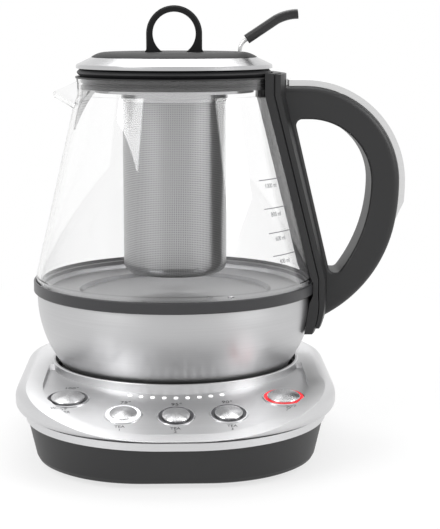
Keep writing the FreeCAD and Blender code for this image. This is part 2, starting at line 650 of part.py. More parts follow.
spout("spout_outside", "Additive", as_size(0), as_size(0))
bore = d.glass_wall
turned(glass, [
    (0, d.glass_base_z - 1), (d.glass_base_radius - bore, d.glass_base_z - 1),
    (d.glass_base_radius - bore, d.shoulder_z), (d.neck_radius - bore, d.neck_z), (d.neck_radius - bore, d.rim_z + 3),
    (0, d.rim_z + 3)], "glass_inside", "PartDesign::Groove")
spout("spout_inside", "Subtractive", d.glass_wall, as_size(3))
rim_cut = new_sketch(glass, "XY_Plane", "rim_cut_plan", d.rim_z)
draw_circle(rim_cut, 0, 0, d.glass_base_radius + 20)
pad(glass, rim_cut, as_size(20), "rim_cut", "PartDesign::Pocket", reverse=True)
keep(glass, "glass_body")

# black ring inside the neck: two ribs to the glass, a ledge for the infuser's collar
neck_bore = d.neck_radius - d.glass_wall
neck_ring = new_body("neck_ring")
turned(neck_ring, [
    (d.ring_ledge_radius, d.ring_bottom_z), (neck_bore - d.gap, d.ring_bottom_z),
    (neck_bore - d.gap, d.ring_bottom_z + 1.8), (neck_bore - 1.4, d.ring_bottom_z + 2.6),
    (neck_bore - 1.4, d.rim_z - 2.8), (neck_bore - d.gap, d.rim_z - 2),
    (neck_bore - d.gap, d.rim_z), (d.neck_radius + d.fit, d.rim_z), (d.neck_radius + d.fit, d.rim_z + 0.9),
    (d.ring_wall_radius, d.rim_z + 0.9), (d.ring_wall_radius, d.ring_ledge_z),
    (d.ring_ledge_radius, d.ring_ledge_z)], "neck_ring_turn")
boss_plan = new_sketch(neck_ring, "XY_Plane", "neck_boss_plan", d.ring_bottom_z - 5.4)
boss_out = neck_bore - 0.8
draw(boss_plan, [(d.ring_ledge_radius + 1.2, -6), (boss_out, -6), (boss_out, 6), (d.ring_ledge_radius + 1.2, 6)])
pad(neck_ring, boss_plan, as_size(6), "neck_boss")
keep(neck_ring, "neck_ring")

# triangular strainer behind the spout, bent to the glass
strainer_sheet = new_body("strainer_sheet")
high_z = d.ring_bottom_z - d.gap
clear = d.glass_wall + d.gap


def strainer_radius(z):
    return cone_radius(z) - clear


turned(strainer_sheet, [
    (strainer_radius(high_z) - d.filter_sheet, high_z), (strainer_radius(d.filter_tip_z) - d.filter_sheet,
                                                         d.filter_tip_z),
    (strainer_radius(d.filter_tip_z), d.filter_tip_z), (strainer_radius(d.neck_z), d.neck_z),
    (strainer_radius(d.neck_z), high_z)], "strainer_turn")
strainer_outline = new_body("strainer_outline")
outline = new_sketch(strainer_outline, "YZ_Plane", "strainer_plan")
half_top = strainer_radius(high_z) * sine(d.filter_half_angle)
draw(outline, [(-half_top, high_z), (-1, d.filter_tip_z), (1, d.filter_tip_z), (half_top, high_z)])
pad(strainer_outline, outline, d.neck_radius * 2, "strainer_plan_pad", reverse=True)
keep(combine("Part::MultiCommon", "spout_strainer", [strainer_sheet, strainer_outline]), "spout_strainer")

# strap: a plate bent round the glass and over the band, with a hook over the rim
strap_in = d.gap


def plate(name, inner, outer, half, low_z, top_z):
    # a curved plate on the handle's side; inner and outer are its two faces, listed upwards
    block = new_body(name + "_turned")
    turned(block, inner[:1] + outer + inner[1:][::-1], name + "_turn")
    window = doc.addObject("Part::Box", name + "_window")
    window.setExpression("Length", (d.band_radius * 2).text)
    window.setExpression("Width", (half * 2).text)
    window.setExpression("Height", (top_z - low_z).text)
    window.setExpression("Placement.Base.x", "0")
    window.setExpression("Placement.Base.y", (-half).text)
    window.setExpression("Placement.Base.z", low_z.text)
    return combine("Part::MultiCommon", name, [block, window])


low_radius = d.bowl_bend_radius + 9.3
strap_face = d.band_radius + d.strap_thick * 0.7
strap_inner = [
    (low_radius, d.strap_bottom_z), (d.bowl_rim_radius + 0.6, d.bowl_rim_z - 5),
    (d.band_radius + d.gap, d.bowl_rim_z - 0.6), (d.band_radius + d.gap, d.band_top_z + 0.6),
    (cone_radius(d.shoulder_z) + strap_in, d.shoulder_z + 1.2), (d.neck_radius + strap_in, d.neck_z),
    (d.neck_radius + strap_in, d.strap_top_z)]
strap_outer = [
    (low_radius + d.strap_thick, d.strap_bottom_z, d.strap_low_curve), (strap_face, d.bowl_rim_z - 1),
    (strap_face, d.shoulder_z), (d.neck_radius + strap_in + d.strap_thick, d.neck_z),
    (d.neck_radius + strap_in + d.strap_thick, d.strap_top_z)]
strap = plate("handle_strap", strap_inner, strap_outer, d.strap_half, d.strap_bottom_z, d.strap_top_z)
keep(strap, "handle_strap")


def bend_centre(low, high, radius):
    # the centre of the arc that bulges outwards between two points of a profile
    run, rise = high[0] - low[0], high[1] - low[1]
    chord = root(run * run + rise * rise)
    reach = root(radius * radius - chord * chord / 4)
    return ((low[0] + high[0]) / 2 - rise * reach / chord, (low[1] + high[1]) / 2 + run * reach / chord)


bend = bend_centre(strap_outer[0], strap_outer[1], d.strap_low_curve)


def outside_bend(p):
    # the same point of the bend, one gap further out
    growth = (d.strap_low_curve + d.gap) / d.strap_low_curve
    return (bend[0] + (p[0] - bend[0]) * growth, bend[1] + (p[1] - bend[1]) * growth)


back_bend = outside_bend(strap_outer[1])
back_inner = [
    outside_bend(strap_outer[0]), (back_bend[0], back_bend[1], -d.strap_low_curve - d.gap),
    (strap_face + d.gap, d.shoulder_z), (d.neck_radius + strap_in + d.strap_thick + d.gap, d.neck_z),
    (d.neck_radius + strap_in + d.strap_thick + d.gap, d.back_top_z)]
back_outer = [
    (low_radius + d.strap_thick + d.back_thick, d.back_bottom_z, d.strap_low_curve),
    (strap_face + d.back_thick, d.bowl_rim_z - 1), (strap_face + d.back_thick, d.shoulder_z),
    (d.neck_radius + d.strap_thick + d.back_thick, d.neck_z),
    (d.neck_radius + d.strap_thick + d.back_thick, d.back_top_z)]
back = plate("handle_back", back_inner, back_outer, d.back_half, d.back_bottom_z, d.back_top_z)

# grip: a closed loop on the back plate, black, with a metal trim on its outer side
back_mid = d.neck_radius + strap_in + d.strap_thick + d.gap + 1.4


def back_face(z):
    # the back plate's outer face on the middle plane
    slope = (strap_face - d.neck_radius - d.strap_thick) / (d.neck_z - d.shoulder_z)
    return d.neck_radius + d.strap_thick + d.back_thick + (d.neck_z - z) * slope


def side_point(radius, degrees):
    # a point on the grip's side arc, degrees below its widest place
    centre_x = d.grip_x + d.grip_top_radius - d.grip_side_radius
    return (centre_x + radius * cosine(degrees), d.grip_z - radius * sine(degrees))


grip = new_body("grip")
grip_plan = new_sketch(grip, "XZ_Plane", "grip_plan")
grip_top_z = d.grip_z + d.grip_top_radius
grip_turn = side_point(d.grip_side_radius, d.grip_turn)
low_x = grip_turn[0] - d.grip_low_radius * cosine(d.grip_turn)
low_z = grip_turn[1] + d.grip_low_radius * sine(d.grip_turn)
foot_run = d.grip_foot_x - low_x
grip_foot_z = low_z - root(d.grip_low_radius * d.grip_low_radius - foot_run * foot_run)
draw(grip_plan, [
    (d.grip_foot_x, grip_foot_z, d.grip_low_radius),
    (grip_turn[0], grip_turn[1], d.grip_side_radius),
    (d.grip_x + d.grip_top_radius, d.grip_z, d.grip_top_radius), (d.grip_x, grip_top_z),
    (back_mid, grip_top_z), (back_mid, d.neck_z), (strap_face + d.gap + 1.4, d.shoulder_z),
    (strap_face + d.gap + 1.4, d.bowl_rim_z)])
grip_pad = pad(grip, grip_plan, d.grip_half * 2, "grip_pad", symmetric=True)
half_grip = d.grip_half.value


def on_side(p):
    return abs(abs(p.y) - half_grip) < 0.01


def on_outside(p):
    # on the loop's outer edge
    return on_side(p) and p.x > d.grip_x.value and (
        p.x > 95 or p.z > grip_top_z.value - 4 or p.z < grip_foot_z.value + 1)


round_edges(grip, grip_pad, on_outside, d.grip_round, "grip_soft")
gap_plan = new_sketch(grip, "XZ_Plane", "gap_plan")
gap_top_z = d.gap_z + d.gap_top_radius
gap_side_x = d.gap_x + d.gap_top_radius - d.gap_side_radius
gap_tail_run = d.gap_tail_x - gap_side_x
gap_tail_z = d.gap_z - root(d.gap_side_radius * d.gap_side_radius - gap_tail_run * gap_tail_run)
draw(gap_plan, [
    (back_face(gap_top_z) + 0.9, gap_top_z), (back_face(gap_tail_z) + 0.9, gap_tail_z),
    (d.gap_tail_x, gap_tail_z, d.gap_side_radius), (d.gap_x + d.gap_top_radius, d.gap_z, d.gap_top_radius),
    (d.gap_x, gap_top_z)])
gap_cut = pad(grip, gap_plan, d.grip_half * 4, "gap_cut", "PartDesign::Pocket", symmetric=True)
gap_soft = round_edges(
    grip, gap_cut, lambda p: abs(p.z - gap_top_z.value) < 0.01 and p.x < d.gap_x.value - 1
    or abs(p.z - gap_tail_z.value) < 0.01, d.gap_corner, "gap_corners", crossing=True)


def in_gap(p):
    reach = math.hypot(p.x - d.gap_x.value, p.z - d.gap_z.value)
    return (on_side(p) and gap_tail_z.value - 1 < p.z < gap_top_z.value + 0.5
            and p.x < d.gap_x.value + d.gap_top_radius.value + 0.5
            and (p.z < d.gap_z.value + 4 or reach < d.gap_top_radius.value + 0.5)
            and p.x > back_face(as_size(p.z)).value + 0.5)


round_edges(grip, gap_soft, in_gap, d.gap_round, "gap_rim")
keep(combine("Part::MultiFuse", "handle_grip_whole", [back, grip]), "handle_grip")

trim = new_body("handle_trim")
trim_plan = new_sketch(trim, "XZ_Plane", "trim_plan")
near, far = d.fit, d.fit + d.trim_thick
tail = side_point(d.grip_side_radius + near, d.grip_turn - 0.5)
step = side_point(d.grip_side_radius + far, d.grip_turn - 5)
draw(trim_plan, [
    tail, (step[0], step[1], d.grip_side_radius + far),
    (d.grip_x + d.grip_top_radius + far, d.grip_z, d.grip_top_radius + far), (d.grip_x, grip_top_z + far),
    (d.neck_radius + 8.6, grip_top_z + far), (d.neck_radius + 8.6, grip_top_z + near),
    (d.grip_x, grip_top_z + near, -d.grip_top_radius - near),
    (d.grip_x + d.grip_top_radius + near, d.grip_z, -d.grip_side_radius - near)])
pad(trim, trim_plan, d.trim_half * 2, "trim_pad", symmetric=True)
keep(trim, "handle_trim")

# infuser: a perforated tube with a solid cup, hung by its collar from the neck ring
tube = new_body("infuser_tube")
turned(tube, [
    (d.tube_radius - d.tube_wall, d.cup_top_z), (d.tube_radius, d.cup_top_z),
    (d.tube_radius, d.collar_z), (d.tube_radius - d.tube_wall, d.collar_z)], "tube_turn")
keep(tube, "infuser_tube")
cup = new_body("infuser_cup")
turned(cup, [
    (0, d.tube_bottom_z), (d.tube_radius - d.cup_corner, d.tube_bottom_z, d.cup_corner),
    (d.tube_radius, d.tube_bottom_z + d.cup_corner), (d.tube_radius, d.cup_top_z),
    (d.tube_radius - d.tube_wall, d.cup_top_z),
    (d.tube_radius - d.tube_wall, d.tube_bottom_z + d.cup_corner),
    (d.tube_radius - d.cup_corner * 0.4, d.tube_bottom_z + d.cup_corner * 0.4),
    (d.tube_radius - d.cup_corner, d.tube_bottom_z + d.tube_wall), (0, d.tube_bottom_z + d.tube_wall)], "cup_turn")
keep(cup, "infuser_cup")
collar = new_body("infuser_collar")
collar_bore = d.tube_radius + d.fit * 0.5
turned(collar, [
    (collar_bore, d.collar_z - 6), (collar_bore + d.tube_wall, d.collar_z - 6),
    (collar_bore + d.tube_wall, d.collar_z - d.tube_wall), (d.collar_radius, d.collar_z - d.tube_wall),
    (d.collar_radius, d.ring_ledge_z), (d.ring_wall_radius - 0.8, d.ring_ledge_z),
    (d.ring_wall_radius - 0.8, d.ring_ledge_z + d.tube_wall),
    (d.collar_radius - d.tube_wall, d.ring_ledge_z + d.tube_wall), (d.collar_radius - d.tube_wall, d.collar_z),
    (collar_bore, d.collar_z)], "collar_turn")
keep(collar, "infuser_collar")

rod = new_body("rod_whole")
rod_path = new_sketch(rod, "XZ_Plane", "rod_path")


def open_path(sketch, corners):
    # like draw, but the last corner isn't joined to the first
    corners = [[as_size(value) for value in corner] for corner in corners]
    points = [Vector(corner[0].value, corner[1].value, 0) for corner in corners]
    last = None
    for index in range(len(corners) - 1):
        start, end = points[index], points[index + 1]
        if len(corners[index]) == 3:
            middle = arc_middle(start, end, corners[index][2].value)
            number = sketch.addGeometry(Part.Arc(start, middle, end), False)
            turn = (middle - start).cross(end - middle).z
            first, final = (1, 2) if turn > 0 else (2, 1)
        else:
            number = sketch.addGeometry(Part.LineSegment(start, end), False)
            first, final = 1, 2
        if last is not None:
            sketch.addConstraint(Sketcher.Constraint("Coincident", last[0], last[1], number, first))
        for kind, size in zip(("DistanceX", "DistanceY"), corners[index]):
            place = sketch.addConstraint(Sketcher.Constraint(kind, -1, 1, number, first, size.value))
            sketch.setExpression(f"Constraints[{place}]", size.text)
        last = (number, final)
    for kind, size in zip(("DistanceX", "DistanceY"), corners[-1]):
        place = sketch.addConstraint(Sketcher.Constraint(kind, -1, 1, last[0], last[1], size.value))
        sketch.setExpression(f"Constraints[{place}]", size.text)
    return sketch


def pipe(body, section, path, name):
    feature = body.newObject("PartDesign::AdditivePipe", name)
    feature.Profile = section
    feature.Spine = (path, [])
    return feature


open_path(rod_path, [(d.rod_x, d.collar_z), (d.rod_x, d.rod_bend_z, -d.rod_bend), (d.sleeve_start_x, d.sleeve_start_z)])
rod_section = new_sketch(rod, "XY_Plane", "rod_section", d.collar_z)
draw_circle(rod_section, d.rod_x, 0, d.rod_radius)
pipe(rod, rod_section, rod_path, "rod_pipe")

sleeve = new_body("lift_sleeve")
sleeve_path = open_path(new_sketch(sleeve, "XZ_Plane", "sleeve_path"), [
    (d.sleeve_start_x, d.sleeve_start_z), (d.sleeve_turn_x, d.sleeve_turn_z, -26), (d.sleeve_end_x, d.sleeve_end_z)])
sleeve_section = new_sketch(sleeve, "YZ_Plane", "sleeve_section")
rise = math.degrees(math.atan2((d.sleeve_turn_z - d.sleeve_start_z).value, (d.sleeve_turn_x - d.sleeve_start_x).value))
sleeve_section.AttachmentOffset = Placement(
    Vector(0, d.sleeve_start_z.value, d.sleeve_start_x.value), Rotation(Vector(1, 0, 0), -rise))
sleeve_section.setExpression("AttachmentOffset.Base.y", d.sleeve_start_z.text)
sleeve_section.setExpression("AttachmentOffset.Base.z", d.sleeve_start_x.text)
draw_circle(sleeve_section, 0, 0, d.sleeve_radius)
pipe(sleeve, sleeve_section, sleeve_path, "sleeve_pipe")
keep(sleeve, "lift_sleeve")
keep(combine("Part::Cut", "lift_rod", [rod, sleeve]), "lift_rod")

# lid: steel dome, black cap with a pull ring, plug and seal, all open along one slot for the rod
slot = doc.addObject("Part::Box", "lid_slot")
slot.setExpression("Length", "60")
slot.setExpression("Width", (d.slot_half * 2).text)
slot.setExpression("Height", "60")
slot.setExpression("Placement.Base.x", (d.rod_x - d.slot_half).text)
slot.setExpression("Placement.Base.y", (-d.slot_half).text)
slot.setExpression("Placement.Base.z", (d.ring_ledge_z - 20).text)


def slotted(name, corners):
    body = new_body(name + "_whole")
    turned(body, corners, name + "_turn")
    return keep(combine("Part::Cut", name + "_slotted", [body, slot]), name)


dome_top = d.cap_edge_z + 0.7
slotted("lid_dome", [
    (d.cap_radius - 1.8, dome_top - 1.5), (d.dome_radius - 1.2, d.dome_edge_z - 0.3),
    (d.dome_radius - 1.2, d.dome_edge_z - d.dome_lip - 0.2), (d.dome_radius, d.dome_edge_z - d.dome_lip),
    (d.dome_radius, d.dome_edge_z + 0.1), (d.dome_radius - 0.5, d.dome_edge_z + 0.9),
    (d.cap_radius - 1.8, dome_top)])
slotted("lid_cap", [
    (0, dome_top - 2.4), (d.cap_radius - 2.3, dome_top - 2.4), (d.cap_radius - 2.3, dome_top + 0.3),
    (d.cap_radius, d.cap_edge_z, 14), (d.cap_flat_radius, d.cap_top_z), (0, d.cap_top_z)])
slotted("lid_plug", [
    (0, d.plug_bottom_z), (d.lid_plug_radius - 2, d.plug_bottom_z), (d.lid_plug_radius, d.plug_bottom_z + 2),
    (d.lid_plug_radius, d.dome_edge_z - 1.5), (d.dome_radius - 2.3, d.dome_edge_z - 1.4),
    (d.dome_radius - 2.3, d.dome_edge_z - 0.4), (d.cap_radius - 2.4, dome_top - 2.5), (0, dome_top - 2.5)])
seal_low = d.rim_z + 1
slotted("lid_seal", [
    (d.lid_plug_radius + d.fit, seal_low), (d.seal_radius - 1.7, seal_low), (d.seal_radius, d.seal_z - 0.4),
    (d.seal_radius, d.seal_z + 0.4), (d.seal_radius - 1.7, d.dome_edge_z - 1.6),
    (d.lid_plug_radius + d.fit, d.dome_edge_z - 1.6)])

pull = new_body("pull_ring")
pull_plan = new_sketch(pull, "XZ_Plane", "pull_plan")
draw(pull_plan, [
    (-d.pull_radius - 0.8, d.cap_top_z), (d.pull_radius + 0.8, d.cap_top_z), (d.pull_radius, d.cap_top_z + 1.6),
    (d.pull_radius, d.pull_centre_z, d.pull_radius), (0, d.pull_centre_z + d.pull_radius, d.pull_radius),
    (-d.pull_radius, d.pull_centre_z), (-d.pull_radius, d.cap_top_z + 1.6)])
pad(pull, pull_plan, d.pull_half_width * 2, "pull_pad", symmetric=True)
pull_hole = new_sketch(pull, "XZ_Plane", "pull_hole_plan")
draw_circle(pull_hole, 0, d.pull_centre_z, d.pull_hole_radius)
pull_cut = pad(pull, pull_hole, d.pull_half_width * 4, "pull_hole", "PartDesign::Pocket", symmetric=True)
pull_face = d.pull_half_width.value
round_edges(pull, pull_cut, lambda p: abs(abs(p.y) - pull_face) < 0.01 and p.z > d.cap_top_z.value + 0.2,
            as_size(0.9), "pull_chamfer", "PartDesign::Chamfer")
keep(pull, "lid_pull")
group("lid_screws", [
    cylinder(f"lid_screw_{index}", 2.6, 1.4, (38 * cosine(as_size(angle)), 38 * sine(as_size(angle)),
                                               d.plug_bottom_z - 1.4))
    for index, angle in enumerate((60, 180, 300))])

# buttons: bezel, light ring and sprung cap, all on the panel's normal
bezels = []
for word, x, y, ring_radius, cap_radius in buttons:
    bezels.append(leaning(f"bezel_{word}", [
        (ring_radius - 0.75, -d.ring_depth), (ring_radius, -d.ring_depth), (ring_radius, 0.2),
        (ring_radius - 0.25, 0.4), (ring_radius - 0.75, 0.4)], x, y))
    keep(leaning(f"light_ring_{word}", [
        (cap_radius + d.gap, -d.ring_depth), (ring_radius - 0.8, -d.ring_depth), (ring_radius - 0.8, -0.3),
        (cap_radius + d.gap, -0.3)], x, y), f"light_ring_{word}")
    rim = cap_radius - 0.4
    dome_curve = (rim * rim + d.cap_dome * d.cap_dome) / (2 * d.cap_dome)
    keep(leaning(f"button_{word}", [
        (0, -d.cap_stem - 2), (d.cap_stem_radius, -d.cap_stem - 2), (d.cap_stem_radius, -1.8),
        (cap_radius, -1.8), (cap_radius, d.cap_rise - 0.4), (rim, d.cap_rise, dome_curve),
        (0, d.cap_rise + d.cap_dome)], x, y), f"button_{word}")
group("button_bezels", bezels)
group("indicator_lamps", [
    cylinder(f"lamp_{index}", d.lamp_radius, 3.6, on_panel(x, y, as_size(-3.3)), panel_lean(y))
    for index, (x, y) in enumerate(lamp_places)])

board = new_body("control_board")
board_plan = new_sketch(board, "XY_Plane", "board_plan", d.board_z)
draw(board_plan, [(-66, -64), (-66, -84), (-40, -106), (40, -106), (66, -84), (66, -64)])
pad(board, board_plan, d.board_thick, "board_pad")
keep(board, "control_board")
group("board_posts", [
    cylinder(f"board_post_{index}", 3, d.board_z - d.foot_height - d.moulding_wall,
             (x, y, d.foot_height + d.moulding_wall))
    for index, (x, y) in enumerate([(-60, -70), (60, -70), (-34, -98), (34, -98)])])
group("button_switches", [
    cylinder(f"switch_{word}", 3, panel_height(y) - d.cap_stem - 4.4 - d.board_z - d.board_thick,
             (x, y + 2, d.board_z + d.board_thick))
    for word, x, y, ring_radius, cap_radius in buttons])

doc.recompute()
for thing in doc.Objects:
    if "Invalid" in thing.State or "Error" in thing.State:
        raise RuntimeError(f"{thing.Label} did not build: {thing.State}")
for node in nodes:
    if node.Shape.isNull() or not node.Shape.isValid() or not node.Shape.Solids:
        raise RuntimeError(f"{node.Label} has no valid solid")
os.makedirs("parts", exist_ok=True)
for node in nodes:
    node.Shape.exportStep(f"parts/{node.Label}.step")
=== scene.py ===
import math

import bmesh
import bpy
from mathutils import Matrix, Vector
from mathutils.bvhtree import BVHTree


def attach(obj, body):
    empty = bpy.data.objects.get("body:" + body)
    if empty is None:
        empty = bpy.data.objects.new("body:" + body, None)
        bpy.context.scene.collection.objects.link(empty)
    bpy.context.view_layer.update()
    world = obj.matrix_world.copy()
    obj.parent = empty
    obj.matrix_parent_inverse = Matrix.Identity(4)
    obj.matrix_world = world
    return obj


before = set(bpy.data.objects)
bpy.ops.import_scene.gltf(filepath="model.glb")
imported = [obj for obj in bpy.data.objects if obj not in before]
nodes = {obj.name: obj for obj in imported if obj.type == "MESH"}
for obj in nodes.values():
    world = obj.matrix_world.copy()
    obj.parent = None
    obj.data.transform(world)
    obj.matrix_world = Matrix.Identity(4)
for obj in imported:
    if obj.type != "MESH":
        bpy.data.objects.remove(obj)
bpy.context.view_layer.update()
print("frame loaded:", len(nodes), "nodes")

mm = 0.001


def toLinear(hexColour):
    # sRGB hex to the linear colour that the shaders use
    values = []
    for start in (1, 3, 5):
        value = int(hexColour[start:start + 2], 16) / 255
        values.append(value / 12.92 if value <= 0.04045 else ((value + 0.055) / 1.055) ** 2.4)
    return (*values, 1.0)


def addObject(name, data):
    thing = bpy.data.objects.new(name, data)
    bpy.context.scene.collection.objects.link(thing)
    return thing


# camera: at the photograph's distance and height, turned to its framing
cameraPlan = {
    "place": (0.0, -0.837, 0.2362),
    "turn": 1.764,  # degrees to the right
    "tilt": 9.40,  # degrees down
    "focalPixels": 1471.1,
    "frameHeight": 529.0,
}


def makeCamera(plan):
    data = bpy.data.cameras.new("photoCamera")
    data.lens = data.sensor_width * plan["focalPixels"] / plan["frameHeight"]
    data.clip_start = 0.01
    camera = addObject("photoCamera", data)
    camera.location = plan["place"]
    camera.rotation_euler = (math.radians(90 - plan["tilt"]), 0, -math.radians(plan["turn"]))
    bpy.context.scene.camera = camera


makeCamera(cameraPlan)
bpy.context.scene.view_settings.view_transform = "Standard"
print("camera ready")


def addNode(tree, kind, settings=None, links=None):
    # settings: attribute or input name to value; links: input name to the output that feeds it
    node = tree.nodes.new(kind)
    for name, value in (settings or {}).items():
        if isinstance(name, str) and hasattr(node, name):
            setattr(node, name, value)
        else:
            node.inputs[name].default_value = value
    for name, output in (links or {}).items():
        tree.links.new(output, node.inputs[name])
    return node


def newMaterial(name):
    material = bpy.data.materials.new(name)
    material.use_nodes = True
    tree = material.node_tree
    tree.nodes.clear()
    return material, tree


def spread(tree, value, low, high):
    # a value between 0 and 1, carried to the range from low to high
    return addNode(tree, "ShaderNodeMapRange", {"To Min": low, "To Max": high}, {"Value": value}).outputs[0]


def finishSurface(tree, shader):
    addNode(tree, "ShaderNodeOutputMaterial", links={"Surface": shader})


def localPlace(tree):
    # the point in the piece's own frame, in metres
    return addNode(tree, "ShaderNodeTexCoord").outputs["Object"]


def grainPlace(tree, way, centre, fineMm, longMm):
    # coordinates that change fast across the grain and slowly along it
    place = localPlace(tree)
    fine, slow = 1 / (fineMm * mm), 1 / (longMm * mm)
    moved = addNode(tree, "ShaderNodeVectorMath", {"operation": "SUBTRACT", 1: centre}, {0: place}).outputs[0]
    if way == "along":
        return addNode(tree, "ShaderNodeVectorMath", {"operation": "MULTIPLY", 1: (slow, fine, fine)},
                       {0: moved}).outputs[0]
    split = addNode(tree, "ShaderNodeSeparateXYZ", links={0: moved})
    flat = addNode(tree, "ShaderNodeCombineXYZ", links={0: split.outputs[0], 1: split.outputs[1]}).outputs[0]
    around = addNode(tree, "ShaderNodeVectorMath", {"operation": "NORMALIZE"}, {0: flat}).outputs[0]
    length = addNode(tree, "ShaderNodeVectorMath", {"operation": "LENGTH"}, {0: flat}).outputs["Value"]
    across = length if way == "turned" else split.outputs[2]
    # round the axis one unit of direction is one radius
    typicalRadius = 60 * mm
    around = addNode(tree, "ShaderNodeVectorMath", {"operation": "MULTIPLY", 1: (typicalRadius * slow,) * 3},
                     {0: around}).outputs[0]
    steps = addNode(tree, "ShaderNodeMath", {"operation": "MULTIPLY", 1: fine}, {0: across}).outputs[0]
    split = addNode(tree, "ShaderNodeSeparateXYZ", links={0: around})
    return addNode(tree, "ShaderNodeCombineXYZ",
                   links={0: split.outputs[0], 1: split.outputs[1], 2: steps}).outputs[0]


def grainTangent(tree, way, centre, axis):
    # the direction that the brush or the lathe tool ran in
    if way == "along":
        return addNode(tree, "ShaderNodeCombineXYZ", {0: 1.0}).outputs[0]
    moved = addNode(tree, "ShaderNodeVectorMath", {"operation": "SUBTRACT", 1: centre},
                    {0: localPlace(tree)}).outputs[0]
    turned = addNode(tree, "ShaderNodeVectorMath", {"operation": "CROSS_PRODUCT", 0: axis},
                     {1: moved}).outputs[0]
    return addNode(tree, "ShaderNodeVectorMath", {"operation": "NORMALIZE"}, {0: turned}).outputs[0]


# highlights stretch across the scratches, a quarter of a turn from the grain
acrossGrain = 0.25


def brushedSteel(name, colour, roughness, way, fineMm=0.5, longMm=40.0, anisotropy=0.6, depth=0.12,
                 centre=(0, 0, 0), axis=(0, 0, 1), change=0.06):
    # stainless steel sheet, brushed: fine parallel scratches stretch each highlight across them
    # the real grit leaves lines near 0.1 mm; they are drawn wider, because finer ones don't show at this size
    material, tree = newMaterial(name)
    place = grainPlace(tree, way, centre, fineMm, longMm)
    lines = addNode(tree, "ShaderNodeTexNoise", {"Scale": 1.0, "Detail": 3.0, "Roughness": 0.6},
                    {"Vector": place}).outputs["Fac"]
    polish = spread(tree, lines, roughness - change, roughness + change)
    shade = spread(tree, lines, 0.9, 1.06)
    tint = addNode(tree, "ShaderNodeVectorMath", {"operation": "SCALE", 0: toLinear(colour)[:3]},
                   {"Scale": shade}).outputs[0]
    bump = addNode(tree, "ShaderNodeBump", {"Strength": depth, "Distance": 0.05 * mm},
                   {"Height": lines}).outputs[0]
    shader = addNode(tree, "ShaderNodeBsdfPrincipled",
                     {"Metallic": 1.0, "Anisotropic": anisotropy, "Anisotropic Rotation": acrossGrain},
                     {"Base Color": tint, "Roughness": polish, "Normal": bump,
                      "Tangent": grainTangent(tree, way, centre, axis)})
    finishSurface(tree, shader.outputs[0])
    return material


def mouldedPlastic(name, colour, roughness, grainMm=0.35, depth=0.2, gloss=0.5):
    # moulded ABS or silicone with a fine spark-eroded texture, which breaks up highlights without dots
    material, tree = newMaterial(name)
    place = localPlace(tree)
    grain = addNode(tree, "ShaderNodeTexNoise", {"Scale": 1 / (grainMm * mm), "Detail": 2.0},
                    {"Vector": place}).outputs["Fac"]
    cloud = addNode(tree, "ShaderNodeTexNoise", {"Scale": 30.0, "Detail": 2.0},
                    {"Vector": place}).outputs["Fac"]
    polish = spread(tree, cloud, roughness - 0.05, roughness + 0.05)
    shade = spread(tree, cloud, 0.94, 1.06)
    tint = addNode(tree, "ShaderNodeVectorMath", {"operation": "SCALE", 0: toLinear(colour)[:3]},
                   {"Scale": shade}).outputs[0]
    bump = addNode(tree, "ShaderNodeBump", {"Strength": depth, "Distance": 0.04 * mm},
                   {"Height": grain}).outputs[0]
    shader = addNode(tree, "ShaderNodeBsdfPrincipled", {"IOR": 1.5, "Specular IOR Level": gloss},
                     {"Base Color": tint, "Roughness": polish, "Normal": bump})
    finishSurface(tree, shader.outputs[0])
    return material


def clearGlass(name):
    # blown borosilicate glass: clear, with slow waves in the wall that bend its edges a little
    material, tree = newMaterial(name)
    waves = addNode(tree, "ShaderNodeTexNoise", {"Scale": 18.0, "Detail": 1.0},
                    {"Vector": localPlace(tree)}).outputs["Fac"]
    bump = addNode(tree, "ShaderNodeBump", {"Strength": 0.03, "Distance": 0.3 * mm},
                   {"Height": waves}).outputs[0]
    glass = addNode(tree, "ShaderNodeBsdfPrincipled",
                    {"Base Color": (1, 1, 1, 1), "Roughness": 0.0, "IOR": 1.47, "Transmission Weight": 1.0},
                    {"Normal": bump}).outputs[0]
    passing = addNode(tree, "ShaderNodeBsdfTransparent", {"Color": toLinear("#fbfbfb")}).outputs[0]
    # a lamp's light goes through the wall, so the glass throws only a faint shadow
    path = addNode(tree, "ShaderNodeLightPath").outputs["Is Shadow Ray"]
    mixed = addNode(tree, "ShaderNodeMixShader", links={0: path, 1: glass, 2: passing}).outputs[0]
    finishSurface(tree, mixed)
    return material


# the infuser's top band, above this height in metres, has no holes
plainBandZ = 0.1925


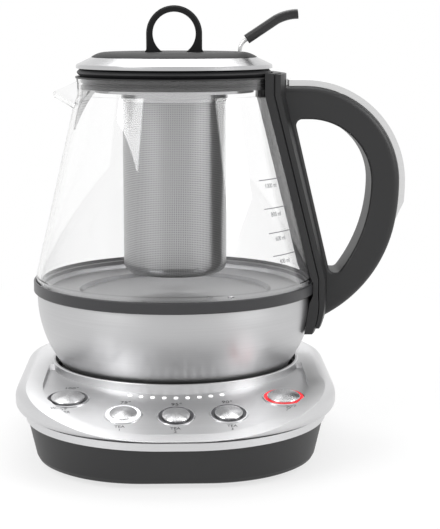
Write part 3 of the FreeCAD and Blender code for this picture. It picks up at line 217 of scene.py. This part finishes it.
def perforatedSteel(name, colour, pitchMm, holeMm, radiusMm):
    # etched stainless sheet: rows of round holes, set wider than real ones, which would be too fine to show;
    # the holes are not open but painted dark, painted shade of the inside seen through them
    material, tree = newMaterial(name)
    split = addNode(tree, "ShaderNodeSeparateXYZ", links={0: localPlace(tree)})
    angle = addNode(tree, "ShaderNodeMath", {"operation": "ARCTAN2"},
                    {0: split.outputs[1], 1: split.outputs[0]}).outputs[0]
    around = round(2 * math.pi * radiusMm / pitchMm)
    cells = []
    for value, count in ((angle, around / (2 * math.pi)), (split.outputs[2], 1 / (pitchMm * mm))):
        scaled = addNode(tree, "ShaderNodeMath", {"operation": "MULTIPLY", 1: count}, {0: value}).outputs[0]
        part = addNode(tree, "ShaderNodeMath", {"operation": "FRACT"}, {0: scaled}).outputs[0]
        cells.append(addNode(tree, "ShaderNodeMath", {"operation": "SUBTRACT", 1: 0.5}, {0: part}).outputs[0])
    cell = addNode(tree, "ShaderNodeCombineXYZ", links={0: cells[0], 1: cells[1]}).outputs[0]
    reach = addNode(tree, "ShaderNodeVectorMath", {"operation": "LENGTH"}, {0: cell}).outputs["Value"]
    holeEdge, softEdge = holeMm / pitchMm / 2, 0.08
    holeShadeMask = addNode(tree, "ShaderNodeMapRange",
                   {"From Min": holeEdge + softEdge, "From Max": holeEdge - softEdge},
                   {"Value": reach}).outputs[0]
    plain = addNode(tree, "ShaderNodeMath", {"operation": "LESS_THAN", 1: plainBandZ},
                    {0: split.outputs[2]}).outputs[0]
    holeShadeMask = addNode(tree, "ShaderNodeMath", {"operation": "MULTIPLY"}, {0: holeShadeMask, 1: plain}).outputs[0]
    steel = addNode(tree, "ShaderNodeBsdfPrincipled",
                    {"Base Color": toLinear(colour), "Metallic": 1.0, "Roughness": 0.28, "Anisotropic": 0.5,
                     "Anisotropic Rotation": acrossGrain},
                    {"Tangent": grainTangent(tree, "round", (0, 0, 0), (0, 0, 1))}).outputs[0]
    # painted shade: a dark grey sheet in each hole stands for the shaded inside seen through it
    paintedHoleShade = addNode(tree, "ShaderNodeBsdfPrincipled",
                   {"Base Color": toLinear("#3c3c3d"), "Metallic": 0.6, "Roughness": 0.7}).outputs[0]
    finishSurface(tree, addNode(tree, "ShaderNodeMixShader", links={0: holeShadeMask, 1: steel, 2: paintedHoleShade}).outputs[0])
    return material


def litPlastic(name, colour, glow, strength):
    # translucent polycarbonate light guide: it glows evenly and still takes a soft highlight
    material, tree = newMaterial(name)
    cloud = addNode(tree, "ShaderNodeTexNoise", {"Scale": 400.0}, {"Vector": localPlace(tree)}).outputs["Fac"]
    polish = spread(tree, cloud, 0.25, 0.4)
    shader = addNode(tree, "ShaderNodeBsdfPrincipled",
                     {"Base Color": toLinear(colour), "IOR": 1.58, "Emission Color": toLinear(glow),
                      "Emission Strength": strength}, {"Roughness": polish})
    finishSurface(tree, shader.outputs[0])
    return material


# where the panel and its buttons are, as in the solids; millimetres
panel = {"radius": 181.0, "crownY": -50.0, "topZ": 39.9}
buttonPlaces = {"hot_water": (-57.5, -75.4), "tea_1": (-27.5, -94.2), "tea_2": (0.0, -96.4),
                "tea_3": (27.5, -94.2), "on_off": (57.5, -75.4)}


def panelHeight(y):
    run = panel["crownY"] - y
    return panel["topZ"] - panel["radius"] + math.sqrt(panel["radius"] ** 2 - run ** 2)


finishes = {
    "bowl": brushedSteel("stainlessBowlBrushedRound", "#c2c2c3", 0.38, "round", 0.7, 60, 0.65),
    "deck": brushedSteel("stainlessDeckBrushedAlong", "#d2d2d3", 0.38, "along", 0.5, 45, 0.5),
    "dome": brushedSteel("stainlessDomeSatin", "#bebebf", 0.24, "round", 0.5, 60, 0.4, 0.05),
    "trim": brushedSteel("stainlessTrimBrushed", "#dcdcdc", 0.34, "along", 0.5, 30, 0.4),
    "collar": brushedSteel("stainlessCollarSatin", "#c4c4c5", 0.26, "round", 0.5, 60, 0.4, 0.05),
    "floor": brushedSteel("stainlessFloorSatin", "#858587", 0.3, "turned", 0.6, 30, 0.5),
    "rod": brushedSteel("stainlessRodDrawn", "#c8c8c8", 0.2, "round", 0.4, 20, 0.2),
    "screw": brushedSteel("zincPlatedScrew", "#a8a8a6", 0.35, "turned", 0.3, 5, 0.2),
    "bezel": brushedSteel("chromedBezel", "#e4e4e6", 0.12, "round", 0.4, 20, 0.1, 0.02),
    "brass": brushedSteel("brassContactTurned", "#c9a25c", 0.3, "turned", 0.4, 8, 0.3),
    "mesh": perforatedSteel("etchedStrainerSheet", "#c4c4c4", 1.5, 0.9, 54),
    "infuser": perforatedSteel("etchedInfuserSheet", "#b4b4b5", 1.0, 0.5, 29.4),
    "case": mouldedPlastic("absCaseMoulded", "#1b1b1c", 0.48),
    "grip": mouldedPlastic("absGripMoulded", "#19191a", 0.46),
    "band": mouldedPlastic("absBandMoulded", "#2c2c2e", 0.36),
    "ring": mouldedPlastic("polypropyleneNeckRing", "#161617", 0.4),
    "cap": mouldedPlastic("absLidCapMoulded", "#101011", 0.5, gloss=0.22),
    "rubber": mouldedPlastic("siliconeSealMoulded", "#18181a", 0.5),
    "sleeve": mouldedPlastic("siliconeSleeveMoulded", "#19191a", 0.38),
    "gasket": mouldedPlastic("siliconeGasketGrey", "#8d8d8f", 0.5),
    "board": mouldedPlastic("solderMaskBoard", "#27553a", 0.4),
    "glass": clearGlass("borosilicateGlassBlown"),
    "unlit": litPlastic("polycarbonateGuideUnlit", "#4a4a4d", "#000000", 0.0),
    "white": litPlastic("polycarbonateGuideWhite", "#f2f4f6", "#ffffff", 0.9),
    "red": litPlastic("polycarbonateGuideRed", "#e8303a", "#ff1e2a", 0.9),
    "lamp": litPlastic("polycarbonateLampWhite", "#f6f6f6", "#ffffff", 0.8),
}

finishOf = {
    "bowl": ["kettle_bowl"], "deck": ["base_deck"], "dome": ["lid_dome"], "trim": ["handle_trim"],
    "floor": ["kettle_floor", "heating_element"], "rod": ["lift_rod"], "screw": ["base_screws", "lid_screws"],
    "bezel": ["button_bezels"], "brass": ["plug_contact", "heat_sensor"], "mesh": ["spout_strainer"],
    "infuser": ["infuser_tube", "infuser_cup"], "grip": ["handle_grip", "handle_strap"],
    "band": ["glass_band"],
    "case": ["base_shell", "base_bottom", "seat_dish", "base_plug", "kettle_socket", "kettle_underside",
             "socket_holder", "board_posts", "button_switches"],
    "ring": ["neck_ring", "lid_plug"], "collar": ["infuser_collar"], "cap": ["lid_cap", "lid_pull"],
    "rubber": ["base_feet", "cord_gland", "lid_seal"], "sleeve": ["lift_sleeve"], "gasket": ["glass_gasket"],
    "board": ["control_board"], "glass": ["glass_body"], "lamp": ["indicator_lamps"],
    "unlit": ["light_ring_hot_water", "light_ring_tea_2", "light_ring_tea_3"], "white": ["light_ring_tea_1"],
    "red": ["light_ring_on_off"],
}


def dress(node, material):
    mesh = nodes[node].data
    mesh.materials.clear()
    mesh.materials.append(material)


for finish, names in finishOf.items():
    for name in names:
        dress(name, finishes[finish])

for word, (x, y) in buttonPlaces.items():
    lean = math.asin((panel["crownY"] - y) / panel["radius"])
    centre = (x * mm, y * mm, panelHeight(y) * mm)
    dress("button_" + word, brushedSteel(
        "turnedCap_" + word, "#d6d6d7", 0.26, "turned", 0.25, 12, 0.85, 0.15, centre,
        (0, -math.sin(lean), math.cos(lean))))
print("materials on every node")


# prints: flat ink laid on the panel and on the glass, a few hundredths of a millimetre thick; millimetres
inkDepth = 0.06
deckClearance = 0.05
glassClearance = 0.03
finishes["ink"] = mouldedPlastic("screenPrintInkGrey", "#3a3a3c", 0.5)
finishes["mark"] = mouldedPlastic("screenPrintMarkGrey", "#77777a", 0.5)
glassCone = {"lowZ": 93.0, "lowRadius": 79.6, "highZ": 195.5, "highRadius": 55.6}


def surfaceUnder(node, startZ):
    # a function that finds the node's surface, and its normal, straight down from startZ at x, y
    mesh = nodes[node].data
    tree = BVHTree.FromPolygons([vertex.co for vertex in mesh.vertices],
                                [polygon.vertices for polygon in mesh.polygons])
    return lambda x, y: tree.ray_cast(Vector((x, y, startZ)) * mm, Vector((0, 0, -1)))[:2]


deckUnder = surfaceUnder("base_deck", 80.0)


def onPanel(middle):
    # a place on the deck round the point middle; u runs right, v up the panel, depth out of it
    def place(u, v, depth):
        point, normal = deckUnder(middle[0] + u, middle[1] + v)
        return point + Vector((0, 0, (depth + deckClearance) * mm / max(abs(normal.z), 0.5)))
    return place


def onGlass(angle, z):
    # a place on the glass round an angle from the front; u runs round the cone, v up it
    def place(u, v, depth):
        share = (z + v - glassCone["lowZ"]) / (glassCone["highZ"] - glassCone["lowZ"])
        radius = glassCone["lowRadius"] + share * (glassCone["highRadius"] - glassCone["lowRadius"])
        turn = math.radians(angle) + u / radius
        reach = radius + depth + glassClearance
        return Vector((math.sin(turn) * reach, -math.cos(turn) * reach, z + v)) * mm
    return place


def addPrint(name, mesh, place, body, material):
    # the print's flat mesh, in millimetres, is welded and laid on the surface that place describes
    work = bmesh.new()
    work.from_mesh(mesh)
    bmesh.ops.remove_doubles(work, verts=work.verts, dist=0.001)
    for vertex in work.verts:
        vertex.co = place(*vertex.co)
    work.to_mesh(mesh)
    work.free()
    mesh.materials.clear()
    mesh.materials.append(finishes[material])
    piece = addObject(name, mesh)
    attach(piece, body)


def textMesh(words, size):
    curve = bpy.data.curves.new(words, "FONT")
    curve.body = words
    curve.size = size
    curve.extrude = inkDepth / 2
    curve.resolution_u = 3
    curve.align_x = "CENTER"
    curve.align_y = "CENTER"
    holder = addObject(words, curve)
    ready = holder.evaluated_get(bpy.context.evaluated_depsgraph_get())
    mesh = bpy.data.meshes.new_from_object(ready)
    bpy.data.objects.remove(holder)
    return mesh


def stripMesh(name, width, height, steps):
    # a thin closed strip, in short steps so that it can follow a curve
    points, faces = [], []
    for step in range(steps + 1):
        across = (step / steps - 0.5) * width
        for up, out in ((-0.5, -0.5), (0.5, -0.5), (0.5, 0.5), (-0.5, 0.5)):
            points.append((across, up * height, out * inkDepth))
    for step in range(steps):
        first, after = step * 4, step * 4 + 4
        for corner in range(4):
            beside = (corner + 1) % 4
            faces.append((first + corner, first + beside, after + beside, after + corner))
    faces.append((3, 2, 1, 0))
    last = steps * 4
    faces.append((last, last + 1, last + 2, last + 3))
    mesh = bpy.data.meshes.new(name)
    mesh.from_pydata(points, [], faces)
    return mesh


# generic numbers above the buttons and generic words below them: the text, and its middle on the panel
numberSize, wordSize = 4.2, 3.0
numbers = {
    "hot_water": ("100\u00b0", (-56.5, -59.0)), "tea_1": ("75\u00b0", (-26.6, -80.8)),
    "tea_2": ("95\u00b0", (0.3, -83.6)), "tea_3": ("90\u00b0", (27.0, -81.2)),
}
words = {
    "hot_water": ("HOT\nWATER", (-60.3, -90.0)), "tea_1": ("TEA\n1", (-29.0, -107.8)),
    "tea_2": ("TEA\n2", (-0.4, -110.0)), "tea_3": ("TEA\n3", (28.8, -107.8)),
    "on_off": ("ON\nOFF", (60.3, -90.0)),
}
for kind, size, texts in (("printNumber_", numberSize, numbers), ("printWords_", wordSize, words)):
    for button, (text, middle) in texts.items():
        addPrint(kind + button, textMesh(text, size), onPanel(middle), "base", "ink")

# water marks: a line and its volume below it, 200 ml apart
markPlan = {"heights": {"1000": 151.2, "800": 135.9, "600": 122.9, "400": 110.7}, "lineAngle": 52.5,
            "lineWidth": 21.0, "lineHeight": 0.5, "lineSteps": 16, "textAngle": 51.5, "textDrop": 3.4,
            "textSize": 3.4}
for volume, z in markPlan["heights"].items():
    line = stripMesh("line" + volume, markPlan["lineWidth"], markPlan["lineHeight"], markPlan["lineSteps"])
    addPrint("printLine_" + volume, line, onGlass(markPlan["lineAngle"], z), "kettle",
             "mark")
    addPrint("printVolume_" + volume, textMesh(volume + " ml", markPlan["textSize"]),
             onGlass(markPlan["textAngle"], z - markPlan["textDrop"]), "kettle", "mark")
print("prints on the panel and the glass")

# two small rivets that hold the sensor's cup under the kettle's floor
rivetPlan = {"places": ((19.4, -18.7), (31.4, -19.1)), "radius": 1.9, "rise": 0.7, "steps": 24, "rings": 4}


def domeMesh(name, radius, rise, steps, rings):
    # a low closed dome with a flat underside
    points, faces = [(0, 0, rise)], []
    for ring in range(1, rings + 1):
        lean = math.pi / 2 * ring / rings
        for step in range(steps):
            turn = 2 * math.pi * step / steps
            reach = math.sin(lean) * radius
            points.append((math.cos(turn) * reach, math.sin(turn) * reach, math.cos(lean) * rise))
    for step in range(steps):
        after = (step + 1) % steps
        faces.append((0, 1 + step, 1 + after))
        for ring in range(rings - 1):
            low = 1 + ring * steps
            faces.append((low + step, low + steps + step, low + steps + after, low + after))
    faces.append(tuple(1 + (rings - 1) * steps + step for step in reversed(range(steps))))
    mesh = bpy.data.meshes.new(name)
    mesh.from_pydata(points, [], faces)
    for polygon in mesh.polygons:
        polygon.use_smooth = len(polygon.vertices) < 5
    return mesh


floorUnder = surfaceUnder("kettle_floor", 150.0)
for index, (x, y) in enumerate(rivetPlan["places"]):
    name = "floorRivet" + str(index)
    rivet = addObject(name, domeMesh(name, rivetPlan["radius"] * mm, rivetPlan["rise"] * mm,
                                     rivetPlan["steps"], rivetPlan["rings"]))
    rivet.data.materials.append(finishes["dome"])
    rivet.location = floorUnder(x, y)[0]
    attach(rivet, "kettle")
print("rivets on the kettle's floor")

# light: a pale room, brighter at its sides and back, with three soft lamps
room = {"front": 0.42, "side": 1.0, "fill": 0.62}


def makeRoom(plan):
    world = bpy.data.worlds.new("paleRoom")
    world.use_nodes = True
    tree = world.node_tree
    tree.nodes.clear()
    way = addNode(tree, "ShaderNodeTexCoord").outputs["Generated"]
    split = addNode(tree, "ShaderNodeSeparateXYZ", links={0: way})
    # from the front of the room to its sides and back
    share = addNode(tree, "ShaderNodeMapRange",
                    {"From Min": -0.95, "From Max": -0.35, "To Min": plan["front"], "To Max": plan["side"],
                     "interpolation_type": "SMOOTHSTEP"}, {"Value": split.outputs[1]})
    # at the horizon the room is as pale as the floor, so no edge shows in the glass
    rise = addNode(tree, "ShaderNodeMapRange",
                   {"From Min": 0.02, "From Max": 0.5, "interpolation_type": "SMOOTHSTEP"},
                   {"Value": split.outputs[2]}).outputs[0]
    share = addNode(tree, "ShaderNodeMix", {"data_type": "FLOAT", 2: 1.0}, {0: rise, 3: share.outputs[0]})
    path = addNode(tree, "ShaderNodeLightPath")
    seen = addNode(tree, "ShaderNodeMath", {"operation": "MAXIMUM"},
                   {0: path.outputs["Is Glossy Ray"], 1: path.outputs["Is Transmission Ray"]}).outputs[0]
    mirrored = addNode(tree, "ShaderNodeMix", {"data_type": "FLOAT", 2: plan["fill"]},
                       {0: seen, 3: share.outputs[0]}).outputs[0]
    strength = addNode(tree, "ShaderNodeMix", {"data_type": "FLOAT", 3: 1.0},
                       {0: path.outputs["Is Camera Ray"], 2: mirrored}).outputs[0]
    background = addNode(tree, "ShaderNodeBackground", {"Color": (1, 1, 1, 1)}, {"Strength": strength})
    addNode(tree, "ShaderNodeOutputWorld", links={"Surface": background.outputs[0]})
    bpy.context.scene.world = world


makeRoom(room)

lamps = {
    "keyLeft": {"place": (-0.9, -0.7, 0.9), "size": 0.7, "watts": 9.0},
    "fillRight": {"place": (1.0, -0.5, 0.7), "size": 0.6, "watts": 6.0},
    "topBack": {"place": (0.0, 0.5, 1.2), "size": 0.9, "watts": 7.0},
}
lampAim = Vector((0, 0, 0.1))
for name, plan in lamps.items():
    data = bpy.data.lights.new(name, "AREA")
    data.size = plan["size"]
    data.energy = plan["watts"]
    lamp = addObject(name, data)
    lamp.location = plan["place"]
    lamp.rotation_euler = (lampAim - Vector(plan["place"])).to_track_quat("-Z", "Y").to_euler()


def makeTable():
    mesh = bpy.data.meshes.new("paleTable")
    half = 4.0
    corners = [(-half, -half, 0), (half, -half, 0), (half, half, 0), (-half, half, 0)]
    mesh.from_pydata(corners, [], [(0, 1, 2, 3)])
    table = addObject("paleTable", mesh)
    material, tree = newMaterial("matteLaminateWhite")
    cloud = addNode(tree, "ShaderNodeTexNoise", {"Scale": 60.0}, {"Vector": localPlace(tree)}).outputs["Fac"]
    polish = spread(tree, cloud, 0.6, 0.7)
    top = addNode(tree, "ShaderNodeBsdfPrincipled", {"Base Color": toLinear("#f2f2f2")},
                  {"Roughness": polish}).outputs[0]
    glow = addNode(tree, "ShaderNodeEmission", {"Color": (1, 1, 1, 1), "Strength": 1.0}).outputs[0]
    path = addNode(tree, "ShaderNodeLightPath")
    seen = addNode(tree, "ShaderNodeMath", {"operation": "MAXIMUM"},
                   {0: path.outputs["Is Glossy Ray"], 1: path.outputs["Is Transmission Ray"]}).outputs[0]
    seen = addNode(tree, "ShaderNodeMath", {"operation": "MAXIMUM"},
                   {0: seen, 1: path.outputs["Is Camera Ray"]}).outputs[0]
    # near the object the floor keeps its shadow, and further away it blends into the white background
    away = addNode(tree, "ShaderNodeVectorMath", {"operation": "LENGTH"},
                   {0: localPlace(tree)}).outputs["Value"]
    glowShare = addNode(tree, "ShaderNodeMapRange",
                        {"From Min": 0.16, "From Max": 0.5, "To Min": 0.72, "To Max": 1.0,
                         "interpolation_type": "SMOOTHSTEP"}, {"Value": away}).outputs[0]
    share = addNode(tree, "ShaderNodeMath", {"operation": "MULTIPLY"}, {0: seen, 1: glowShare}).outputs[0]
    finishSurface(tree, addNode(tree, "ShaderNodeMixShader", links={0: share, 1: top, 2: glow}).outputs[0])
    mesh.materials.append(material)


makeTable()
print("room, lamps and table ready")
